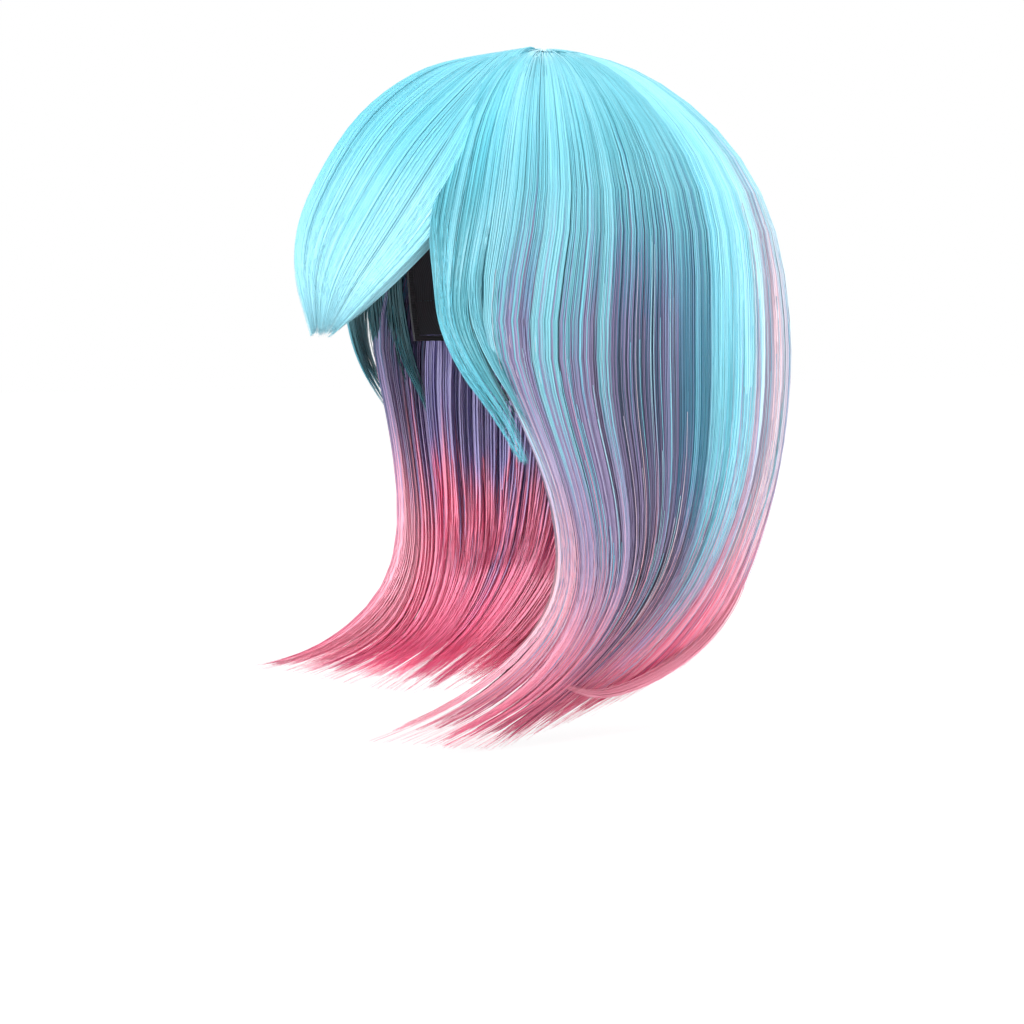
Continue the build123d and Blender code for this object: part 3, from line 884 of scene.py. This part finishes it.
def stray_lock(name, route, strands, spread, slot):
    """A thin lock that has slipped out of the hem and lies across it."""
    share = np.linspace(0, 1, loose_points)
    middle_line = through(np.array(route, float), share * (len(route) - 1))
    shift = rng.normal(0, spread, (strands, 1, 3)) * (0.5 + np.sin(share * math.pi))[None, :, None]
    lines = middle_line[None] + shift
    outward = np.broadcast_to(unit(middle_line * (1, 1, 0)), lines.shape)
    widths = stray_width * (1 - 0.8 * share**3) * np.ones((strands, 1))
    classes = rng.integers(0, class_count, strands)
    colour = {"dye": 1.9 + 0.4 * share, "tone": loose_tone, "pale": 0.15}
    lock = tubes(name, lines, outward, widths, classes, colour, flatness=0.8)
    finish_hair(lock, slot)


stray_lock("stray_hem_lock", stray_route, 60, 0.9, "lock_fibre")


# Tones of the base sheets: painted shade under the strands, less dark at the bottom.
sheet_tone, sheet_tone_rise = 0.58, 0.35
sheet_thickness = 0.6


def base_sheet(name, layer, first, last, start, stop, sink, dye_and_painted_light_of, slot):
    """A closed thin sheet below the strands, so that no gap between them shows the cap."""
    keys = np.linspace(first, last, 41)
    places = np.arange(start, stop, 0.25)
    rows, columns = np.meshgrid(keys, places, indexing="ij")
    outer, room, outward = layer.walls(rows, columns)
    top = outer - outward * np.minimum(sink, room * 0.45)[..., None]
    bottom = top - outward * sheet_thickness
    points = np.concatenate([top.reshape(-1, 3), bottom.reshape(-1, 3)])
    m, n = rows.shape
    index = np.arange(m * n).reshape(m, n)
    a, b, c, d = index[:-1, :-1], index[:-1, 1:], index[1:, 1:], index[1:, :-1]
    upper = np.stack([a, b, c, d], axis=-1).reshape(-1, 4)
    lower = upper[:, ::-1] + m * n
    rim = np.concatenate([index[0, :], index[1:, -1], index[-1, -2::-1], index[-2:0:-1, 0]])
    after = np.roll(rim, -1)
    wall = np.stack([after, rim, rim + m * n, after + m * n], axis=-1)
    sheet = modelled(name, points, [upper, lower, wall])
    heights = outer[..., 2]
    dye, _, _ = dye_and_painted_light_of(rows, heights, 0 * rows, np.full(rows.shape, class_variants))
    # Painted shade: the sheet is darker than the strands over it, less so below about 200 mm down.
    tone = sheet_tone + sheet_tone_rise * falling(heights, -200, 70)
    for label, values in (("dye", dye), ("tone", tone)):
        store(sheet, label, np.tile(values.reshape(-1), 2))
    finish_hair(sheet, slot)


base_sheet("curtain_base", curtain, 60, 300, 0.6, curtain.last_place - 3, 4.5, curtain_dye_and_painted_light,
           "lock_fibre")
base_sheet("fringe_base", fringe, -0.94, 0.94, 0.6, fringe.last_place - 0.4, 3.0, fringe_dye_and_highlight,
           "fringe_fibre")
for side, layer in (("left", temple), ("right", mirrored(temple))):
    base_sheet("temple_base_" + side, layer, 0.04, 0.96, 0.8, 4.5, 3.0, aqua_dye, "crown_fibre")

# ---- the cap's own parts


def net_material():
    """Fine black stretch net: dark threads round small open cells."""
    made = new_material("stretch_net")
    cells = made.texture("ShaderNodeTexVoronoi", {"Scale": 520.0, "Randomness": 0.22},
                         feature="DISTANCE_TO_EDGE")["Distance"]
    made.paint(cells, (0.0, (26, 26, 29)), (0.10, (34, 34, 38)), (0.17, (92, 118, 126)),
               (1.0, (104, 132, 140)))
    made.bump(cells, 0.6, 0.0004)
    made.set(Roughness=0.8)
    return made.owner


wave_scale = 0.31  # a wave texture of this scale over a width repeats at about that width


def woven_material(name, dark, pale, thread, roughness, sheen=0.3):
    """A fine plain weave of two shades, with threads of a width in metres."""
    made = new_material(name)
    inputs = {"Scale": wave_scale / thread, "Distortion": 0.6, "Detail": 1.0}
    weave = made.math("MULTIPLY", *(
        made.texture("ShaderNodeTexWave", inputs, bands_direction=direction)["Fac"]
        for direction in ("X", "Z")))
    patches = made.math("MULTIPLY_ADD", made.noise(60.0), 0.35, weave)
    made.paint(patches, (0.1, dark), (0.9, pale))
    made.bump(weave, 0.5, thread * 0.4)
    made.set(Roughness=roughness, Sheen_Weight=sheen)
    return made.owner


def ribbed_material(name, dark, pale, rib):
    """Elastic with lengthwise ribs across its height and rubber threads between them."""
    made = new_material(name)
    ribs = made.texture("ShaderNodeTexWave", {"Scale": wave_scale / rib}, bands_direction="Z")["Fac"]
    grain = made.math("MULTIPLY_ADD", made.noise(900.0), 0.4, ribs)
    made.paint(grain, (0.1, dark), (1.0, pale))
    made.bump(grain, 0.6, 0.0003)
    made.set(Roughness=0.7, Sheen_Weight=0.2)
    return made.owner


def skin_material():
    """Flesh-toned fine mesh with knots where the hair is tied."""
    made = new_material("fine_skin_mesh")
    knots = made.texture("ShaderNodeTexVoronoi", {"Scale": 700.0}, feature="F1")["Distance"]
    made.paint(knots, (0.0, (120, 170, 175)), (0.18, (176, 150, 128)), (1.0, (214, 186, 160)))
    made.bump(knots, 0.3, 0.0003)
    made.set(Roughness=0.75)
    return made.owner


def grained_material(name, scale, detail, dark, pale, bump, **finish):
    """Two shades of a fine grain, which also stands out a tenth of a millimetre."""
    made = new_material(name)
    grain = made.noise(scale, detail)
    made.paint(grain, (0.3, dark), (0.75, pale))
    made.bump(grain, bump, 0.0001)
    made.set(**finish)
    return made.owner


# Nape straps, as in the CAD. Angles run round the head form from the middle of the back.
strap_height = -152.5
strap_width = 11.0
strap_sewn_angle = 73.0
strap_free_angle = 33.0
strap_depth = -1.95
strap_half_thickness = 0.35
thread_width = 0.5
stitch_length = 2.4
stitch_pitch = 3.4
ribbon_pitch = 26.0
ribbon_seam = 3.7
band_seam_height = -44.0
nape_seam_height = -136.0
nape_rows = ((-138.2, 38), (-160.5, 40))
seat_angles = (74.2, 80.2)
seat_reach = 4.6
seat_depth = -2.42
lining_depth = -0.14


def form_point(angle, depth, height=strap_height):
    """A point on the head form at an angle, a depth and a height, and its outward direction."""
    a, b, c = head_half + depth
    girth = math.sqrt(1 - ((height - head_centre[2]) / c) ** 2)
    turn = math.atan2(b * math.sin(math.radians(angle)), a * math.cos(math.radians(angle)))
    x, y = a * girth * math.sin(turn), b * girth * math.cos(turn)
    out = unit(np.array([x / a**2, y / b**2, (height - head_centre[2]) / c**2]))
    return np.array([x, y, height]), out


def swept_strap(name, line, out):
    """A closed upright band along a line, with soft edges, from its points and outward directions."""
    profile = [(-1, -0.35), (-0.94, -1), (0.94, -1), (1, -0.35), (1, 0.35), (0.94, 1), (-0.94, 1),
               (-1, 0.35)]
    rings = [line + (0, 0, u * strap_width / 2) + out * v * strap_half_thickness for u, v in profile]
    points = np.stack(rings, axis=1).reshape(-1, 3)
    count, size = len(line), len(profile)
    quads = side_quads(np.arange(count - 1) * size, size)
    ends = np.array([np.arange(size)[::-1], np.arange(size) + (count - 1) * size])
    return modelled(name, points, [quads, ends])


def strap_band(side, mirror):
    """Elastic from its sewn seat through the hook's slot, round the end bar and back on itself."""
    line, outward = [], []
    flip = np.array([mirror, 1, 1])

    def lay(angle, depth):
        point, out = form_point(angle, depth)
        line.append(point * flip)
        outward.append(out * flip)

    for angle in np.linspace(strap_sewn_angle, strap_free_angle, 41):
        lay(angle, strap_depth)
    for turn in np.linspace(0, math.pi, 9)[1:]:
        lay(strap_free_angle - 1.6 * math.sin(turn), strap_depth - 1.1 * (1 - math.cos(turn)) / 2)
        tilt = np.cross(outward[-1], (0, 0, 1)) * -mirror
        outward[-1] = unit(outward[-1] * math.cos(turn) + tilt * math.sin(turn))
    for angle in np.linspace(strap_free_angle, strap_free_angle + 9, 10)[1:]:
        lay(angle, strap_depth - 1.1)
        outward[-1] = -outward[-1]
    band = swept_strap("elastic_strap_" + side, np.array(line), np.array(outward))
    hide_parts("adjust_strap_" + side, "strap_end_loop_" + side)
    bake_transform(band)
    return band


def stitches(name, rows):
    """Running stitches: short bars of thread along rows, each of points and outward directions."""
    bars = []
    for row in rows:
        line, out = (np.array(part) for part in zip(*row))
        steps = np.linalg.norm(np.diff(line, axis=0), axis=1)
        length = np.concatenate([[0], np.cumsum(steps)])

        def at(values, places):
            return np.stack([np.interp(places, length, values[:, k]) for k in range(3)], axis=-1)

        places = np.arange(0, length[-1] - stitch_length, stitch_pitch)
        begin, end, normal = at(line, places), at(line, places + stitch_length), at(out, places)
        side = unit(np.cross(end - begin, normal)) * thread_width / 2
        normal = unit(normal) * thread_width / 3
        for share, size in ((0, 0.3), (0.15, 1), (0.85, 1), (1, 0.3)):
            middle_point = begin + (end - begin) * share
            for u, v in ((-1, -1), (1, -1), (1, 1), (-1, 1)):
                bars.append(middle_point + size * (side * u + normal * v))
    corners = 16
    points = np.concatenate([
        np.stack(bars[i:i + corners], axis=1).reshape(-1, 3) for i in range(0, len(bars), corners)])
    first = np.arange(0, len(points), corners)[:, None]
    sides = side_quads(first + np.array([0, 4, 8]), 4)
    ends = [first + np.array([3, 2, 1, 0]), first + np.array([12, 13, 14, 15])]
    piece = modelled(name, points, [np.concatenate([sides] + ends)])
    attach(piece, "cap")
    return piece


def ribbon_seam_row(x):
    """A row along the inside of the cap over the crown, at a distance from the middle."""
    a, b, c = head_half + lining_depth
    girth = math.sqrt(1 - (x / a) ** 2)
    front = math.asin((band_seam_height - head_centre[2]) / c / girth)
    back = math.pi + math.asin((head_centre[2] - nape_seam_height) / c / girth)
    row = []
    for turn in np.linspace(front, back, 90):
        y, z = -b * girth * math.cos(turn), c * girth * math.sin(turn)
        out = unit(np.array([x / a**2, y / b**2, z / c**2]))
        row.append((np.array([x, y, z + head_centre[2]]), out))
    return row


def cap_stitches():
    """Seams of the ribbons, the nape lining and the boxed seats of the straps."""
    rows = []
    for i in range(-2, 3):
        rows += [ribbon_seam_row(i * ribbon_pitch + side * ribbon_seam) for side in (-1, 1)]
    for height, reach in nape_rows:
        angles = np.linspace(-reach, reach, 60)
        rows.append([form_point(angle, lining_depth, height) for angle in angles])
    start, end = seat_angles
    low, high = strap_height - seat_reach, strap_height + seat_reach
    box = [(start, low), (end, low), (end, high), (start, high), (start, low), (end, high)]
    for mirror in (1, -1):
        for (a, p), (b, q) in zip(box, box[1:]):
            rows.append([form_point(mirror * (a + (b - a) * t), seat_depth, p + (q - p) * t)
                         for t in np.linspace(0, 1, 8)])
    return stitches("cap_stitches", rows)


def paint_cap():
    """A finish on every part of the cap that keeps its own shape."""
    net = net_material()
    ribbon = woven_material("ribbon_weave", (22, 22, 25), (62, 62, 68), 0.0007, 0.55)
    satin = woven_material("lining_satin", (34, 34, 38), (66, 66, 74), 0.0004, 0.4, 0.5)
    binding = ribbed_material("binding_elastic", (24, 24, 27), (58, 58, 63), 0.0009)
    elastic = ribbed_material("black_elastic", (20, 20, 23), (60, 60, 66), 0.0011)
    webbing = woven_material("loop_webbing", (26, 26, 30), (72, 72, 80), 0.0009, 0.7)
    weft = woven_material("weft_heading", (38, 120, 140), (110, 205, 220), 0.0008, 0.7)
    plastic = grained_material("hook_plastic", 1500.0, 4.0, (24, 24, 26), (44, 44, 48), 0.15,
                               Roughness=0.38)
    thread = grained_material("sewing_thread", 1800.0, 2.0, (84, 84, 92), (134, 134, 144), 0.3,
                              Roughness=0.6, Sheen_Weight=0.3)
    finishes = (("crown_net", net), ("nape_net", net), ("ribbon", ribbon), ("front_lining", satin),
                ("ear_tab", satin), ("nape_lining", satin), ("edge_binding", binding),
                ("nape_elastic", elastic), ("adjust_strap", elastic), ("strap_end", elastic),
                ("strap_seat", webbing), ("loop_tape", webbing), ("weft_row", weft),
                ("skin_top", skin_material()), ("strap_hook", plastic))
    for node, piece in nodes.items():
        for start, finish in finishes:
            if node.startswith(start):
                piece.data.materials.clear()
                piece.data.materials.append(finish)
    for side, mirror in (("left", 1), ("right", -1)):
        strap_band(side, mirror).data.materials.append(elastic)
    cap_stitches().data.materials.append(thread)


paint_cap()

# ---- stage, lights and camera

camera_azimuth = math.radians(70)
camera_elevation = math.radians(5)
camera_distance = 1.5
camera_target = np.array([0.0, -0.008, -0.215])
camera_lens = 99.5
floor_drop = 0.001
floor_reach = 4.0


def aimed(name, data, place, aim):
    """A camera or a lamp at a place, aimed at a point."""
    piece = new_object(name, data)
    piece.location = place
    x, y, z = np.array(aim) - np.array(place)
    pitch = math.atan2(z, math.hypot(x, y))
    piece.rotation_euler = (math.pi / 2 + pitch, 0, math.atan2(y, x) - math.pi / 2)
    return piece


def add_camera():
    """The camera at the photograph's angle."""
    level = math.cos(camera_elevation)
    back = np.array([math.sin(camera_azimuth) * level, -math.cos(camera_azimuth) * level,
                     math.sin(camera_elevation)])
    data = bpy.data.cameras.new("camera")
    data.lens = camera_lens
    place = camera_target + camera_distance * back
    bpy.context.scene.camera = aimed("camera", data, place, camera_target)


def lamp(name, place, aim, size, watts):
    """A soft square lamp aimed at a point."""
    data = bpy.data.lights.new(name, "AREA")
    data.size = size
    data.energy = watts
    aimed(name, data, place, aim)


def white_world():
    """A white world that lights a little less brightly than it looks."""
    world = Nodes(bpy.data.worlds.new("studio"))
    bpy.context.scene.world = world.owner
    lit, pale = world.tree.nodes["Background"], world.add("ShaderNodeBackground")
    for node, strength in ((lit, 0.72), (pale, 1.0)):
        node.inputs["Color"].default_value = (1, 1, 1, 1)
        node.inputs["Strength"].default_value = strength
    output = world.tree.nodes["World Output"].inputs[0]
    world.camera_ray_mix(lit.outputs[0], pale.outputs[0], output)


def pale_floor():
    """A floor just below the hair, which glows to the camera and keeps a soft shadow."""
    low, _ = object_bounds()
    x = floor_reach
    points = np.array([(-x, -x, 0), (x, -x, 0), (x, x, 0), (-x, x, 0)]) + (0, 0, low[2] - floor_drop)
    floor = modelled("floor", points / mm, [np.array([[0, 1, 2, 3]])])
    paint = new_material("pale_floor")
    paint.set(Base_Color=(0.93, 0.93, 0.93, 1), Roughness=0.9)
    glow = paint.add("ShaderNodeEmission")
    glow.inputs["Strength"].default_value = 1.09
    mix = paint.add("ShaderNodeMixShader")
    mix.inputs[0].default_value = 0.8
    paint.link(paint.shader.outputs[0], mix.inputs[1])
    paint.link(glow.outputs[0], mix.inputs[2])
    output = paint.tree.nodes["Material Output"].inputs["Surface"]
    paint.camera_ray_mix(paint.shader.outputs[0], mix.outputs[0], output)
    floor.data.materials.append(paint.owner)
    floor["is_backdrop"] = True


add_camera()
white_world()
pale_floor()
lamp("key", (1.1, -1.2, 0.8), (0, 0, -0.12), 0.5, 17)
lamp("front", (0.8, -1.6, -0.15), (-0.05, -0.05, -0.25), 0.8, 10)
lamp("side", (1.7, 0.3, 0.3), (0, 0, -0.15), 1.4, 5)
lamp("top", (0.1, 0.2, 1.5), (0, 0, 0), 1.2, 5)
lamp("rear", (0.3, 1.7, 0.5), (0, 0, -0.15), 1.2, 11)
lamp("far", (-1.5, 0.7, 0.4), (0, 0, -0.15), 1.2, 7)
bpy.context.scene.view_settings.view_transform = "Standard"
